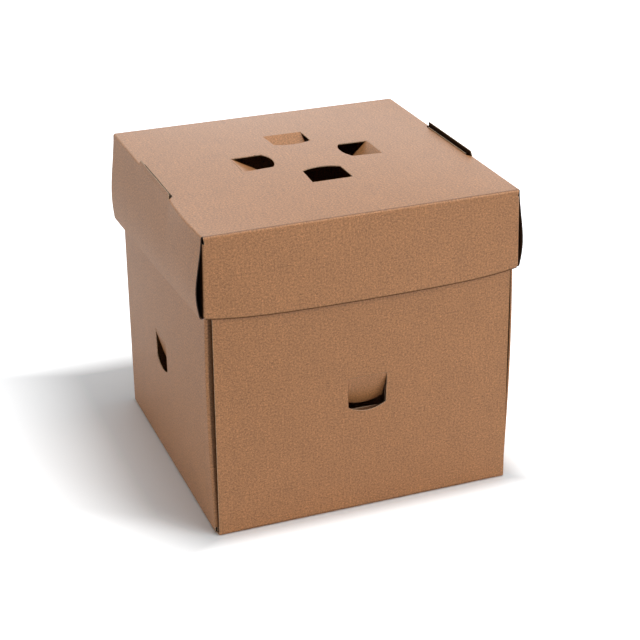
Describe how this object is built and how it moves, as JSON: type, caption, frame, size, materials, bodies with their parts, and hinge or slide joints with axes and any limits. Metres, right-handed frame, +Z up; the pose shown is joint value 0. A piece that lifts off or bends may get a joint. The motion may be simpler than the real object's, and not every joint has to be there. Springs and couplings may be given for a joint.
{
  "type": "burger box",
  "caption": "Square two-piece kraft burger box: a deep folded base with a lift-off lid, both with D-shaped vent flaps that push in.",
  "frame": {"origin": "middle of the base's underside, on the surface that the box stands on", "axes": "+Z up, +X to the right of the front wall, -Y towards the front"},
  "size_m": [0.1353, 0.1336, 0.1307],
  "materials": {
    "kraft_board": "matte"
  },
  "bodies": {
    "base": {"base": "kraft_board"},
    "lid": {"lid": "kraft_board"},
    "base_vent_front": {"base_vent_front": "kraft_board"},
    "base_vent_right": {"base_vent_right": "kraft_board"},
    "base_vent_back": {"base_vent_back": "kraft_board"},
    "base_vent_left": {"base_vent_left": "kraft_board"},
    "lid_vent_front": {"lid_vent_front": "kraft_board"},
    "lid_vent_right": {"lid_vent_right": "kraft_board"},
    "lid_vent_back": {"lid_vent_back": "kraft_board"},
    "lid_vent_left": {"lid_vent_left": "kraft_board"}
  },
  "joints": [
    {"name": "lid_lift", "type": "slide", "parent": "base", "child": "lid", "axis": [0, 0, 1], "range_m": [0, 0.08]},
    {"name": "base_vent_front_fold", "type": "hinge", "parent": "base", "child": "base_vent_front", "pos_m": [0, -0.06569, 0.0602], "axis": [1, 0, 0], "range_deg": [-21, 69]},
    {"name": "base_vent_right_fold", "type": "hinge", "parent": "base", "child": "base_vent_right", "pos_m": [0.06551, 0, 0.0602], "axis": [0, 1, 0], "range_deg": [-16, 74]},
    {"name": "base_vent_back_fold", "type": "hinge", "parent": "base", "child": "base_vent_back", "pos_m": [0, 0.06569, 0.0602], "axis": [-1, 0, 0], "range_deg": [-21, 69]},
    {"name": "base_vent_left_fold", "type": "hinge", "parent": "base", "child": "base_vent_left", "pos_m": [-0.06551, 0, 0.0602], "axis": [0, -1, 0], "range_deg": [-16, 74]},
    {"name": "lid_vent_front_fold", "type": "hinge", "parent": "lid", "child": "lid_vent_front", "pos_m": [0, -0.03, 0.12999], "axis": [-1, 0, 0], "range_deg": [-50, 40]},
    {"name": "lid_vent_right_fold", "type": "hinge", "parent": "lid", "child": "lid_vent_right", "pos_m": [0.03, 0, 0.13], "axis": [0, -1, 0], "range_deg": [-44, 46]},
    {"name": "lid_vent_back_fold", "type": "hinge", "parent": "lid", "child": "lid_vent_back", "pos_m": [0, 0.03, 0.12999], "axis": [1, 0, 0], "range_deg": [-25, 65]},
    {"name": "lid_vent_left_fold", "type": "hinge", "parent": "lid", "child": "lid_vent_left", "pos_m": [-0.03, 0, 0.13], "axis": [0, 1, 0], "range_deg": [-30, 60]}
  ]
}
